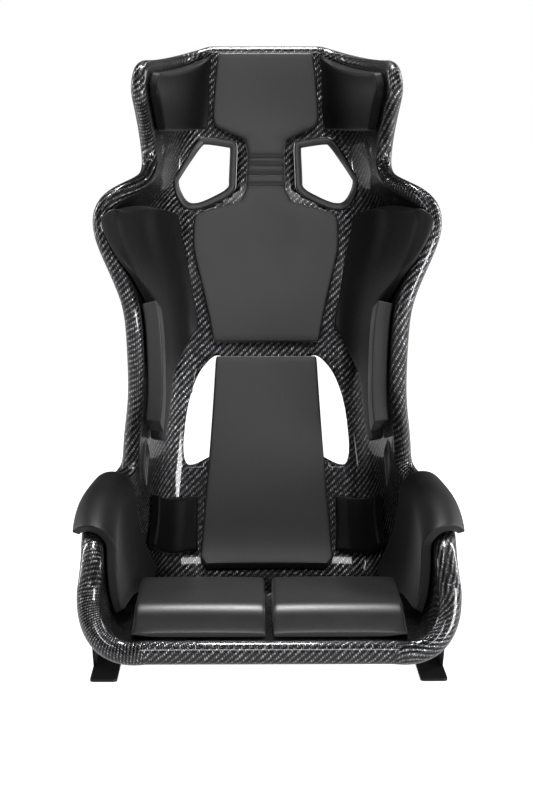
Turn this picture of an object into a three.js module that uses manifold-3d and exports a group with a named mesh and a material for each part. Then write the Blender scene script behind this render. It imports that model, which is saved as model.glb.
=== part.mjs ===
// Racing bucket seat with side mounts, in millimetres.
// X is to the seat's left-right, -Y is the way the occupant faces, +Z is up.
import * as THREE from "three";
import { mergeVertices } from "three/addons/utils/BufferGeometryUtils.js";
import Module from "manifold-3d";

const wasm = await Module();
wasm.setup();

// ---------------------------------------------------------------- driving dimensions

const LAMINATE = 5; // thickness of the carbon shell
const ROLL_TURN = (195 * Math.PI) / 180; // how far the rim is rolled back on itself
const FLAT_SHARE = 0.42; // share of a half section taken by its flat middle
const HOLLOW = [0.72, 0.55]; // how hard the wall curve is drawn to its corner, at foot and rim
const CLEARANCE = 0.4; // between pieces that touch
const PAD_LIFT = 3.8; // underside of a pad above the shell: room for hook-and-loop
const CENTRE_Y = -1.3; // moves the finished seat so its bounding box is centred

const STEEL = 4; // side bracket sheet
const BRACKET_FACE = 266; // inner face of the upright, from the centre line
const BRACKET_FLANGE = 41; // width of the foot flange
const SCREW_HEIGHT = 142;
const SCREW_AT = [-205, -175, 40, 70]; // fore-and-aft places of the side screws
const M8 = { shank: 8, head: 14, headHeight: 4.4, length: 18, washer: 16, washerHeight: 1.6 };

// Sections of the bucket from the front lip, along the pan, up the back, to the top of the head.
// spine: middle of the section (y, z); flat: half width of its flat middle;
// corner: where flat and wall would meet if sharp (x, y, z); rim: top of the wall (x, y, z).
const SECTIONS = [
  { spine: [-300, 84], flat: 184, corner: [258, -303, 73], rim: [249, -268, 152], roll: 17.5 },
  { spine: [-235, 73], flat: 173, corner: [253, -238, 71], rim: [246, -232, 190], roll: 17.5 },
  { spine: [-150, 62], flat: 170, corner: [247, -150, 61], rim: [249, -182, 216], roll: 17 },
  { spine: [-60, 55], flat: 164, corner: [242, -60, 54], rim: [249, -110, 236], roll: 16 },
  { spine: [20, 54], flat: 156, corner: [236, 15, 55], rim: [242, -45, 247], roll: 15.5 },
  { spine: [85, 68], flat: 147, corner: [224, 72, 72], rim: [227, 10, 261], roll: 15 },
  { spine: [127, 120], flat: 140, corner: [210, 113, 120], rim: [208, 38, 287], roll: 14.5 },
  { spine: [148, 210], flat: 134, corner: [200, 138, 212], rim: [202, 28, 340], roll: 14 },
  { spine: [170, 320], flat: 128, corner: [192, 160, 322], rim: [195, 5, 405], roll: 13.5 },
  { spine: [194, 430], flat: 124, corner: [192, 184, 432], rim: [195, -15, 490], roll: 13.5 },
  { spine: [215, 525], flat: 124, corner: [200, 205, 525], rim: [203, -20, 560], roll: 13.5 },
  { spine: [236, 610], flat: 128, corner: [216, 224, 610], rim: [230, -15, 628], roll: 13.5 },
  { spine: [254, 690], flat: 128, corner: [214, 240, 690], rim: [244, 5, 698], roll: 13.5 },
  { spine: [267, 750], flat: 116, corner: [180, 255, 748], rim: [190, 76, 734], roll: 13 },
  { spine: [276, 805], flat: 104, corner: [168, 263, 805], rim: [177, 112, 792], roll: 13 },
  { spine: [283, 860], flat: 98, corner: [167, 269, 860], rim: [186, 62, 860], roll: 12.5 },
  { spine: [288, 915], flat: 96, corner: [167, 273, 907], rim: [191, 44, 893], roll: 12 },
  { spine: [292, 955], flat: 92, corner: [160, 278, 922], rim: [187, 57, 922], roll: 11.5 },
];
const LAST = SECTIONS.length - 1;

// ---------------------------------------------------------------- materials

const paint = (color, roughness, metalness) => new THREE.MeshStandardMaterial({ color, roughness, metalness });
const CARBON = paint(0x1b1c1e, 0.22, 0.1);
const COVER = paint(0x18181a, 0.6, 0);
const RUBBER = paint(0x222224, 0.7, 0);
const HOOK_TAPE = paint(0x101010, 0.95, 0);
const BLACK_STEEL = paint(0x141414, 0.45, 0.6);
const ZINC = paint(0x8d9094, 0.35, 1);

// ---------------------------------------------------------------- the bucket's surface

const columnsOf = ({ spine, flat, corner, rim, roll }) => [...spine, flat, ...corner, ...rim, roll];
const TABLE = SECTIONS.map(columnsOf);

// Second derivatives of a natural cubic spline through equally spaced values.
function bends(values) {
  const n = values.length;
  const upper = new Array(n).fill(0);
  const right = new Array(n).fill(0);
  for (let i = 1; i < n - 1; i++) {
    const pivot = 4 - upper[i - 1];
    upper[i] = 1 / pivot;
    right[i] = (6 * (values[i + 1] - 2 * values[i] + values[i - 1]) - right[i - 1]) / pivot;
  }
  const bend = new Array(n).fill(0);
  for (let i = n - 2; i > 0; i--) bend[i] = right[i] - upper[i] * bend[i + 1];
  return bend;
}
const BENDS = TABLE[0].map((_, column) => bends(TABLE.map((row) => row[column])));

// The section at any place s along the spine, s = 0 at the lip and LAST at the top.
function sectionAt(s) {
  const place = Math.min(Math.max(s, 0), LAST);
  const i = Math.min(Math.floor(place), LAST - 1);
  const f = place - i;
  const value = (column) =>
    (1 - f) * TABLE[i][column] +
    f * TABLE[i + 1][column] +
    (((1 - f) ** 3 - (1 - f)) * BENDS[column][i]) / 6 +
    ((f ** 3 - f) * BENDS[column][i + 1]) / 6;
  return {
    foot: new THREE.Vector3(value(2), value(0), value(1)),
    corner: new THREE.Vector3(value(3), value(4), value(5)),
    rim: new THREE.Vector3(value(6), value(7), value(8)),
    roll: value(9),
  };
}

// Point of the bucket's inner face: u = 0 on the centre line, +1 and -1 on the two rims.
function facePoint(u, s) {
  const { foot, corner, rim } = sectionAt(s);
  const across = Math.abs(u);
  let p;
  if (across <= FLAT_SHARE) {
    p = foot.clone();
    p.x *= across / FLAT_SHARE;
  } else {
    const t = (across - FLAT_SHARE) / (1 - FLAT_SHARE);
    const low = foot.clone().lerp(corner, HOLLOW[0]);
    const high = rim.clone().lerp(corner, HOLLOW[1]);
    p = new THREE.CubicBezierCurve3(foot, low, high, rim).getPoint(t);
  }
  if (u < 0) p.x = -p.x;
  return p;
}

const STEP = 0.002;
const clampU = (u) => Math.min(Math.max(u, -1), 1);
const clampS = (s) => Math.min(Math.max(s, 0), LAST);

// Unit normal of the inner face, towards the occupant.
function faceNormal(u, s) {
  const inU = clampU(u) * 0.995;
  const inS = Math.min(Math.max(s, 0.02), LAST - 0.02);
  const du = facePoint(inU + STEP, inS).sub(facePoint(inU - STEP, inS));
  const ds = facePoint(inU, inS + STEP).sub(facePoint(inU, inS - STEP));
  return du.cross(ds).normalize();
}

// Point at a height above the inner face. Past |u| = 1 the face goes on round the rolled rim,
// a quarter of u for each quarter turn.
function lifted(u, s, height) {
  const n = faceNormal(u, s);
  const onFace = facePoint(clampU(u), s);
  if (Math.abs(u) <= 1) return onFace.addScaledVector(n, height);
  const side = Math.sign(u);
  const along = facePoint(side, clampS(s + 0.05)).sub(facePoint(side, clampS(s - 0.05)));
  const out = along.cross(n).normalize().multiplyScalar(side);
  const turn = (Math.abs(u) - 1) * 2 * Math.PI;
  const { roll } = sectionAt(s);
  return onFace
    .addScaledVector(n, -roll)
    .addScaledVector(n, (roll + height) * Math.cos(turn))
    .addScaledVector(out, (roll + height) * Math.sin(turn));
}

// ---------------------------------------------------------------- solids

class Builder {
  constructor() {
    this.points = [];
    this.faces = [];
  }
  add(point) {
    this.points.push(point.x, point.y, point.z);
    return this.points.length / 3 - 1;
  }
  quad(a, b, c, d) {
    this.faces.push(a, b, c, a, c, d);
  }
  solid() {
    const mesh = new wasm.Mesh({
      numProp: 3,
      vertProperties: new Float32Array(this.points),
      triVerts: new Uint32Array(this.faces),
    });
    return new wasm.Manifold(mesh);
  }
}

// A three.js geometry as a manifold-3d solid.
function toSolid(geometry) {
  const bare = new THREE.BufferGeometry();
  const flat = geometry.index ? geometry.toNonIndexed() : geometry;
  bare.setAttribute("position", flat.getAttribute("position"));
  const merged = mergeVertices(bare, 1e-3);
  return new wasm.Manifold(
    new wasm.Mesh({
      numProp: 3,
      vertProperties: merged.attributes.position.array,
      triVerts: new Uint32Array(merged.index.array),
    }),
  );
}

function toGeometry(solid) {
  const { vertProperties, triVerts, numProp } = solid.getMesh();
  const geometry = new THREE.BufferGeometry();
  const positions = new Float32Array((vertProperties.length / numProp) * 3);
  for (let i = 0; i < positions.length / 3; i++)
    for (let axis = 0; axis < 3; axis++) positions[3 * i + axis] = vertProperties[numProp * i + axis];
  geometry.setAttribute("position", new THREE.BufferAttribute(positions, 3));
  geometry.setIndex(new THREE.BufferAttribute(new Uint32Array(triVerts), 1));
  const flat = geometry.toNonIndexed();
  flat.computeVertexNormals();
  return flat;
}

function box(low, high) {
  const size = high.map((value, axis) => value - low[axis]);
  const geometry = new THREE.BoxGeometry(...size);
  geometry.translate(...low.map((value, axis) => value + size[axis] / 2));
  return toSolid(geometry);
}

const mix = (a, b, f) => a + (b - a) * f;

// Splits 0..1 evenly, with one extra narrow share at each end for a bevel.
function shares(count, edge) {
  const list = [0, edge];
  for (let i = 1; i < count; i++) list.push(mix(edge, 1 - edge, i / count));
  return [...list, 1 - edge, 1];
}

const evenly = (count) => Array.from({ length: count + 1 }, (_, i) => i / count);

// A solid lying on the bucket's face between two heights, each a number or a function of |u|.
// The outline is a ladder: rungs from first to last, each [[u, s], [u, s]] from its inner to
// its outer end.
// bevel: how far the upper edge drops; edge: share of the width and length the bevel takes.
// bows: how far the first and last rungs bulge along s.
function liner({ rungs, low, high, across = 4, along = 2, bevel = 0, edge = 0.06, bows = [0, 0] }) {
  const build = new Builder();
  const split = bevel ? shares : evenly;
  const rows = split((rungs.length - 1) * along, edge);
  const columns = split(across, edge);
  const place = (f, g) => {
    const bow = 4 * g * (1 - g) * mix(bows[0], bows[1], f);
    const at = f * (rungs.length - 1);
    const i = Math.min(Math.floor(at), rungs.length - 2);
    const [a, b] = [rungs[i], rungs[i + 1]];
    const start = [mix(a[0][0], b[0][0], at - i), mix(a[0][1], b[0][1], at - i)];
    const end = [mix(a[1][0], b[1][0], at - i), mix(a[1][1], b[1][1], at - i)];
    return [mix(start[0], end[0], g), mix(start[1], end[1], g) + bow];
  };
  const heightAt = (value, u) => (typeof value === "function" ? value(Math.abs(u)) : value);
  const grid = (value, drop) =>
    rows.map((f, r) =>
      columns.map((g, c) => {
        const onEdge = r === 0 || c === 0 || r === rows.length - 1 || c === columns.length - 1;
        const [u, s] = place(f, g);
        return build.add(lifted(u, s, heightAt(value, u) - (onEdge ? drop : 0)));
      }),
    );
  const top = grid(high, bevel);
  const base = grid(low, 0);
  const [m, n] = [rows.length - 1, columns.length - 1];
  for (let r = 0; r < m; r++)
    for (let c = 0; c < n; c++) {
      build.quad(top[r][c], top[r][c + 1], top[r + 1][c + 1], top[r + 1][c]);
      build.quad(base[r][c], base[r + 1][c], base[r + 1][c + 1], base[r][c + 1]);
    }
  for (let c = 0; c < n; c++) {
    build.quad(base[0][c], base[0][c + 1], top[0][c + 1], top[0][c]);
    build.quad(top[m][c], top[m][c + 1], base[m][c + 1], base[m][c]);
  }
  for (let r = 0; r < m; r++) {
    build.quad(top[r][0], top[r + 1][0], base[r + 1][0], base[r][0]);
    build.quad(base[r][n], base[r + 1][n], top[r + 1][n], top[r][n]);
  }
  return build.solid();
}

const mirrorRungs = (rungs) => rungs.map(([inner, outer]) => [[-outer[0], outer[1]], [-inner[0], inner[1]]]);
const onSide = (side, rungs) => (side > 0 ? rungs : mirrorRungs(rungs));

// The ladder scaled about its middle.
function scaled(rungs, factor) {
  const ends = rungs.flat();
  const middle = [0, 1].map((k) => ends.reduce((sum, end) => sum + end[k], 0) / ends.length);
  return rungs.map((rung) => rung.map((end) => end.map((value, k) => mix(middle[k], value, factor))));
}

// ---------------------------------------------------------------- outlines on the bucket

const SHOULDER_BELT_HOLE = [
  [[0.35, 12.0], [0.45, 12.0]],
  [[0.17, 12.44], [0.55, 12.56]],
  [[0.18, 13.02], [0.615, 13.02]],
  [[0.19, 13.95], [0.475, 14.04]],
  [[0.22, 14.03], [0.43, 14.17]],
];
const LOWER_BACK_HOLE = [
  [[0.24, 7.78], [0.42, 7.5]],
  [[0.24, 7.95], [0.466, 7.75]],
  [[0.24, 8.4], [0.45, 8.35]],
  [[0.24, 8.85], [0.39, 8.9]],
  [[0.24, 9.18], [0.3, 9.2]],
];
const LAP_BELT_HOLE = [
  [[0.81, 6.5], [0.9, 6.5]],
  [[0.81, 6.95], [0.9, 6.95]],
  [[0.81, 7.35], [0.9, 7.35]],
];

const HEAD_CHEST_PAD = [
  [[-0.3, 9.4], [0.3, 9.4]],
  [[-0.4, 11.1], [0.4, 11.1]],
  [[-0.395, 11.85], [0.395, 11.85]],
  [[-0.145, 12.15], [0.145, 12.15]],
  [[-0.115, 12.5], [0.115, 12.5]],
  [[-0.12, 13.6], [0.12, 13.6]],
  [[-0.145, 14.05], [0.145, 14.05]],
  [[-0.385, 14.5], [0.385, 14.5]],
  [[-0.36, 16.88], [0.36, 16.88]],
];
const LOWER_BACK_PAD = [
  [[-0.33, 5.7], [0.33, 5.7]],
  [[-0.325, 6.6], [0.325, 6.6]],
  [[-0.285, 9.15], [0.285, 9.15]],
];
const HEAD_SIDE_PAD = [
  [[0.43, 14.36], [0.99, 14.42]],
  [[0.42, 15.4], [0.99, 15.5]],
  [[0.41, 16.88], [0.975, 16.8]],
];
const SHOULDER_BOLSTER = [
  [[0.78, 7.62], [0.855, 7.5]],
  [[0.7, 8.75], [0.855, 8.7]],
  [[0.55, 9.25], [0.855, 9.5]],
  [[0.38, 9.65], [0.86, 10.0]],
  [[0.46, 10.9], [1.16, 10.9]],
  [[0.52, 11.85], [1.22, 11.7]],
];
const WAIST_PAD = [
  [[0.875, 7.6], [0.985, 7.5]],
  [[0.875, 8.7], [0.985, 8.7]],
  [[0.875, 9.86], [0.985, 9.92]],
];
const KIDNEY_PAD = [
  [[0.345, 6.1], [0.72, 5.55]],
  [[0.355, 6.6], [0.74, 6.15]],
  [[0.36, 7.08], [0.76, 6.65]],
];
const THIGH_BOLSTER = [
  [[0.71, 1.0], [1.44, 1.9]],
  [[0.69, 2.6], [1.44, 3.0]],
  [[0.63, 4.0], [1.43, 3.9]],
  [[0.64, 5.2], [1.4, 4.6]],
];

// ---------------------------------------------------------------- the shell

// The two top corners are rounded: how far |u| reaches at a place along the spine.
const TOP_CORNER = { from: LAST - 0.4, depth: 0.06 };
function reach(s) {
  const t = Math.max(0, (s - TOP_CORNER.from) / (LAST - TOP_CORNER.from));
  return 1 - TOP_CORNER.depth * (1 - Math.sqrt(Math.max(0, 1 - t * t)));
}

const halfSections = Array.from({ length: 2 * LAST - 1 }, (_, i) => i / 2);
const cornerSections = [0, 1, 2, 3, 4].map((i) => TOP_CORNER.from + (LAST - TOP_CORNER.from) * Math.sin((i * Math.PI) / 8));
const SHELL_ROWS = [...halfSections.filter((s) => s < TOP_CORNER.from - 0.1), ...cornerSections];
const FLAT_COLUMNS = 2;
const WALL_COLUMNS = 9;
const halfColumns = [
  ...Array.from({ length: FLAT_COLUMNS }, (_, i) => (i * FLAT_SHARE) / FLAT_COLUMNS),
  ...Array.from({ length: WALL_COLUMNS + 1 }, (_, i) => mix(FLAT_SHARE, 1, i / WALL_COLUMNS)),
];
const SHELL_COLUMNS = [...halfColumns.slice(1).reverse().map((u) => -u), ...halfColumns];
const ROLL_STEPS = 5;

// One closed laminate: inner face, rolled rim and outer face.
function shellBlank() {
  const build = new Builder();
  const [m, n] = [SHELL_ROWS.length - 1, SHELL_COLUMNS.length - 1];
  const places = SHELL_ROWS.map((s) => SHELL_COLUMNS.map((u) => [u * reach(s), s]));
  const face = (depth) => places.map((row) => row.map(([u, s]) => build.add(lifted(u, s, -depth))));
  const inner = face(0);
  const outer = face(LAMINATE);
  for (let r = 0; r < m; r++)
    for (let c = 0; c < n; c++) {
      build.quad(inner[r][c], inner[r][c + 1], inner[r + 1][c + 1], inner[r + 1][c]);
      build.quad(outer[r][c], outer[r + 1][c], outer[r + 1][c + 1], outer[r][c + 1]);
    }
  const border = [];
  for (let c = 0; c < n; c++) border.push([0, c]);
  for (let r = 0; r < m; r++) border.push([r, n]);
  for (let c = n; c > 0; c--) border.push([m, c]);
  for (let r = m; r > 0; r--) border.push([r, 0]);
  const count = border.length;
  const at = (k) => places[border[(k + count) % count][0]][border[(k + count) % count][1]];
  const ring = (turn, reduce) =>
    border.map((_, k) => {
      const [u, s] = at(k);
      const n = faceNormal(u, s);
      const along = facePoint(...at(k + 1)).sub(facePoint(...at(k - 1)));
      const out = along.cross(n).normalize();
      const { roll } = sectionAt(s);
      return build.add(
        facePoint(u, s)
          .addScaledVector(n, -roll)
          .addScaledVector(n, (roll - reduce) * Math.cos(turn))
          .addScaledVector(out, (roll - reduce) * Math.sin(turn)),
      );
    });
  const rings = [border.map(([r, c]) => inner[r][c])];
  for (let i = 1; i <= ROLL_STEPS; i++) rings.push(ring((ROLL_TURN * i) / ROLL_STEPS, 0));
  for (let i = ROLL_STEPS; i >= 1; i--) rings.push(ring((ROLL_TURN * i) / ROLL_STEPS, LAMINATE));
  rings.push(border.map(([r, c]) => outer[r][c]));
  for (let i = 0; i < rings.length - 1; i++)
    for (let k = 0; k < count; k++) {
      const next = (k + 1) % count;
      build.quad(rings[i][next], rings[i][k], rings[i + 1][k], rings[i + 1][next]);
    }
  return build.solid();
}

// Thick flat lands on the side walls, where the brackets are screwed on.
function mountingLand(side) {
  const ends = [SCREW_AT.slice(0, 2), SCREW_AT.slice(2)];
  const inside = liner({
    rungs: onSide(side, [[[0.45, 0.2], [0.99, 0.2]], [[0.45, 6], [0.99, 6]]]),
    low: -0.6 * LAMINATE, high: 70, across: 11, along: 12,
  });
  const blocks = ends.map(([front, rear]) => {
    const x = side > 0 ? [205, BRACKET_FACE - CLEARANCE] : [CLEARANCE - BRACKET_FACE, -205];
    return box([x[0], front - 17, SCREW_HEIGHT - 16], [x[1], rear + 17, SCREW_HEIGHT + 16]);
  });
  return blocks[0].add(blocks[1]).subtract(inside);
}

// ---------------------------------------------------------------- turned parts

// A turned part whose axis points outwards along X, on the given side, at (y, z).
function turned(profile, side, x, y, z) {
  const points = profile.map(([radius, height]) => new THREE.Vector2(radius, height));
  const geometry = new THREE.LatheGeometry(points, 12);
  geometry.rotateZ(-Math.PI / 2);
  if (side < 0) geometry.rotateZ(Math.PI);
  geometry.translate(side * x, y, z);
  return toSolid(geometry);
}

// Tube profile between two radii, from height 0.
const tube = (inner, outer, height) => [
  [inner, 0], [outer, 0], [outer, height], [inner, height], [inner, 0],
];
const rod = (radius, height) => [[0, 0], [radius, 0], [radius, height], [0, height]];

const INSERT = { outer: 7, length: 9 };
const insertStart = BRACKET_FACE - 2 * CLEARANCE - INSERT.length;
const washerStart = BRACKET_FACE + STEEL + CLEARANCE;
const headStart = washerStart + M8.washerHeight + CLEARANCE;

function screw(side, y) {
  const shank = M8.shank / 2;
  const head = M8.head / 2;
  const start = headStart - M8.length;
  const profile = [
    [0, 0], [shank, 0], [shank, M8.length], [head, M8.length],
    [head, M8.length + 0.6 * M8.headHeight], [0.7 * head, M8.length + M8.headHeight],
    [0, M8.length + M8.headHeight],
  ];
  const blank = turned(profile, side, start, y, SCREW_HEIGHT);
  const socket = new THREE.CylinderGeometry(2.9, 2.9, 6, 6);
  socket.rotateZ(Math.PI / 2);
  socket.translate(side * (headStart + M8.headHeight + 0.5), y, SCREW_HEIGHT);
  return blank.subtract(toSolid(socket));
}

// ---------------------------------------------------------------- side brackets

const FOOT = { front: -219, rear: 205, corner: 7 };
const UPRIGHT = [
  [-138, 0], [150, 0], [118, 60], [100, 158], [30, 158], [8, 74], [-112, 74], [-155, 158], [-225, 158], [-225, 118],
];
const FOOT_SLOTS = [-60, 60, 175];

function bracket(side) {
  const outline = new THREE.Shape(UPRIGHT.map(([y, z]) => new THREE.Vector2(y, z)));
  for (const y of SCREW_AT) {
    const hole = new THREE.Path();
    hole.absarc(y, SCREW_HEIGHT, M8.shank / 2 + 0.6, 0, 2 * Math.PI, true);
    outline.holes.push(hole);
  }
  const sheet = new THREE.ExtrudeGeometry(outline, { depth: STEEL, bevelEnabled: false, curveSegments: 6 });
  // the sheet is drawn in (y, z) and stood up across X
  sheet.applyMatrix4(new THREE.Matrix4().makeBasis(
    new THREE.Vector3(0, 1, 0), new THREE.Vector3(0, 0, 1), new THREE.Vector3(1, 0, 0),
  ));
  sheet.translate(side > 0 ? BRACKET_FACE : -BRACKET_FACE - STEEL, 0, 0);
  const inner = BRACKET_FACE + STEEL - BRACKET_FLANGE;
  const middle = (inner + BRACKET_FACE) / 2;
  const outer = BRACKET_FACE + STEEL;
  const { front, rear, corner } = FOOT;
  const plan = new THREE.Shape();
  plan.absarc(outer - corner, front + corner, corner, -Math.PI / 2, 0, false);
  plan.absarc(outer - corner, rear - corner, corner, 0, Math.PI / 2, false);
  plan.absarc(inner + corner, rear - corner, corner, Math.PI / 2, Math.PI, false);
  plan.absarc(inner + corner, front + corner, corner, Math.PI, 1.5 * Math.PI, false);
  plan.closePath();
  for (const y of FOOT_SLOTS) {
    const slot = new THREE.Path();
    slot.absarc(middle, y + 7, 4.5, 0, Math.PI, false);
    slot.absarc(middle, y - 7, 4.5, Math.PI, 2 * Math.PI, false);
    plan.holes.push(slot);
  }
  const flange = new THREE.ExtrudeGeometry(plan, { depth: STEEL, bevelEnabled: false, curveSegments: 6 });
  const flat = toSolid(flange);
  return toSolid(sheet).add(side > 0 ? flat : flat.mirror([1, 0, 0]));
}

// ---------------------------------------------------------------- cushions

// One of the two thigh cushions: a rounded wedge with its ridge near the front.
const CUSHION = { gap: 6, outer: 204, base: 50, ridge: [-262, 128], rear: [-66, 129], front: [-292, 96] };

function thighCushion(side) {
  const { base, ridge, rear, front } = CUSHION;
  const profile = [
    [front[0], base], [rear[0], base], [rear[0], rear[1] - 8], [rear[0] - 8, rear[1]],
    [ridge[0] + 22, ridge[1]], [ridge[0] + 8, ridge[1] - 2], [ridge[0] - 4, ridge[1] - 9],
    [front[0], front[1]],
  ];
  const outline = new THREE.Shape(profile.map(([y, z]) => new THREE.Vector2(y, z)));
  const width = CUSHION.outer - CUSHION.gap;
  const block = new THREE.ExtrudeGeometry(outline, {
    depth: width - 12, bevelEnabled: true, bevelThickness: 6, bevelSize: 5, bevelOffset: -5, bevelSegments: 1,
  });
  block.applyMatrix4(new THREE.Matrix4().makeBasis(
    new THREE.Vector3(0, 1, 0), new THREE.Vector3(0, 0, 1), new THREE.Vector3(1, 0, 0),
  ));
  block.translate(side > 0 ? CUSHION.gap + 6 : -CUSHION.outer + 6, 0, 0);
  const under = liner({
    rungs: onSide(side, [[[-0.02, 0.01], [0.8, 0.01]], [[-0.02, 3.6], [0.8, 3.6]]]),
    low: -45, high: PAD_LIFT, across: 14, along: 9,
  });
  return toSolid(block).subtract(under);
}

// ---------------------------------------------------------------- assembly

const seat = new THREE.Group();
const assembly = new THREE.Group();
seat.add(assembly);
assembly.position.y = -CENTRE_Y;

function addPart(name, solid, material) {
  const mesh = new THREE.Mesh(toGeometry(solid), material);
  mesh.name = name;
  assembly.add(mesh);
}

const pad = (rungs, high, options = {}) => liner({ rungs, low: PAD_LIFT, high, bevel: 4, ...options });
// Upper face of a side pad, which gets thinner from the given |u| to the rim.
const thinning = (thick, atRim, from) => (u) =>
  PAD_LIFT + mix(thick, atRim, (THREE.MathUtils.clamp(u - from, 0, 1 - from) / (1 - from)) ** 2);
const HEAD_SIDE_TOP = thinning(20, 13, 0.72);
const SHOULDER_TOP = thinning(20, 9, 0.72);
const tape = (rungs) => liner({ rungs, low: 1.6, high: PAD_LIFT - 0.7, across: 3, along: 2 });
const cutter = (rungs, across = 3, along = 2) => liner({ rungs, low: -LAMINATE - 8, high: 8, across, along });
const trim = (hole, inner) =>
  liner({ rungs: scaled(hole, 0.97), low: -LAMINATE - 2, high: 2.5, across: 3 }).subtract(cutter(scaled(hole, inner)));

const SIDES = [["left", -1], ["right", 1]];

let shell = shellBlank();
for (const [, side] of SIDES) {
  shell = shell.add(mountingLand(side));
  for (const y of SCREW_AT)
    shell = shell.subtract(turned(rod(INSERT.outer + CLEARANCE, 80), side, 205, y, SCREW_HEIGHT));
  for (const hole of [SHOULDER_BELT_HOLE, LOWER_BACK_HOLE, LAP_BELT_HOLE])
    shell = shell.subtract(cutter(onSide(side, hole)));
}
addPart("seat_shell", shell, CARBON);

addPart("head_chest_pad", pad(HEAD_CHEST_PAD, PAD_LIFT + 20, { along: 1 }), COVER);
addPart("lower_back_pad", pad(LOWER_BACK_PAD, PAD_LIFT + 27, { along: 3 }), COVER);

for (const [word, side] of SIDES) {
  const place = (rungs) => onSide(side, rungs);
  addPart(`head_side_pad_${word}`, pad(place(HEAD_SIDE_PAD), HEAD_SIDE_TOP, { across: 7 }), COVER);
  addPart(`shoulder_bolster_${word}`, pad(place(SHOULDER_BOLSTER), SHOULDER_TOP, { across: 8, bows: [0, 0.42] }), COVER);
  addPart(`waist_pad_${word}`, pad(place(WAIST_PAD), PAD_LIFT + 24, { across: 2 }), COVER);
  addPart(`kidney_pad_${word}`, pad(place(KIDNEY_PAD), PAD_LIFT + 16, { across: 6, bows: [0.14, 0.1] }), COVER);
  addPart(`thigh_bolster_${word}`, pad(place(THIGH_BOLSTER), PAD_LIFT + 15, { across: 11, low: 1.5 }), COVER);
  addPart(`thigh_cushion_${word}`, thighCushion(side), COVER);
  addPart(`shoulder_belt_trim_${word}`, trim(place(SHOULDER_BELT_HOLE), 0.78), RUBBER);
  addPart(`lap_belt_trim_${word}`, trim(place(LAP_BELT_HOLE), 0.8), RUBBER);
  addPart(`side_bracket_${word}`, bracket(side), BLACK_STEEL);
  SCREW_AT.forEach((y, i) => {
    addPart(`screw_${word}_${i + 1}`, screw(side, y), ZINC);
    const washer = turned(tube(M8.shank / 2 + CLEARANCE, M8.washer / 2, M8.washerHeight), side, washerStart, y, SCREW_HEIGHT);
    addPart(`washer_${word}_${i + 1}`, washer, ZINC);
    const insert = turned(tube(M8.shank / 2 + CLEARANCE, INSERT.outer, INSERT.length), side, insertStart, y, SCREW_HEIGHT);
    addPart(`insert_${word}_${i + 1}`, insert, ZINC);
  });
}

const TAPES = {
  tape_head: [[[-0.2, 15], [0.2, 15]], [[-0.2, 16.2], [0.2, 16.2]]],
  tape_chest: [[[-0.2, 9.9], [0.2, 9.9]], [[-0.2, 11.4], [0.2, 11.4]]],
  tape_back: [[[-0.15, 7.6], [0.15, 7.6]], [[-0.15, 8.8], [0.15, 8.8]]],
};
for (const [name, rungs] of Object.entries(TAPES)) addPart(name, tape(rungs), HOOK_TAPE);
const SIDE_TAPES = {
  tape_head_side: [[[0.5, 14.9], [0.62, 14.9]], [[0.5, 16], [0.62, 16]]],
  tape_shoulder: [[[0.55, 10.2], [0.68, 10.2]], [[0.58, 11.3], [0.7, 11.3]]],
  tape_cushion: [[[0.08, 0.7], [0.34, 0.7]], [[0.08, 1.6], [0.34, 1.6]]],
};
for (const [word, side] of SIDES)
  for (const [name, rungs] of Object.entries(SIDE_TAPES))
    addPart(`${name}_${word}`, tape(onSide(side, rungs)), HOOK_TAPE);

export default seat;
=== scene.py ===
import math

import bpy
import numpy as np
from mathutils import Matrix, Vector


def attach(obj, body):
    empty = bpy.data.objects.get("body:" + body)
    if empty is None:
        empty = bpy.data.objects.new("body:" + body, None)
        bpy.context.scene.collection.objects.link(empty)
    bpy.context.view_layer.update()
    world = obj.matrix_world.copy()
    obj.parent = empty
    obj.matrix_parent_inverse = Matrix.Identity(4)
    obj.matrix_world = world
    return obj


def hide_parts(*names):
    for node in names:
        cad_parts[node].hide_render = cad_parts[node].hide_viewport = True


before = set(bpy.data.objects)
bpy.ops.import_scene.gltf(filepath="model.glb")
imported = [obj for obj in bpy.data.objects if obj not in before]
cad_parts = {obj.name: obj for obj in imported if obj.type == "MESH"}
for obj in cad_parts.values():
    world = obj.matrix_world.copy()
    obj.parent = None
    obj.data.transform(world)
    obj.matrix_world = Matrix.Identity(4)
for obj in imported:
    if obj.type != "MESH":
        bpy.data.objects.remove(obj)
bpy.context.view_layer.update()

# ---------------------------------------------------------------- driving dimensions, in mm

MM = 0.001
LAMINATE = 5
ROLL_TURN = math.radians(195)
FLAT_SHARE = 0.42
HOLLOW = (0.72, 0.55)
PAD_LIFT = 3.8
CENTRE_Y = -1.3
LAND_FACE = 265.6
LAND_INSIDE = 205  # where the land's block starts, inside the side wall
LAND_PAST_SCREW = 17
LAND_HALF_HEIGHT = 16
SCREW_HEIGHT = 142
SCREW_AT = (-205, -175, 40, 70)
BORE_RADIUS = 7.4
BORE_DEPTH = 9.8
CUT_BEHIND = 16  # how far a cutter reaches behind the laminate
CUT_IN_FRONT = 18
SHOULDER_TRIM = 12.5  # widths of the trims round the belt openings
LAP_TRIM = 5

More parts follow.
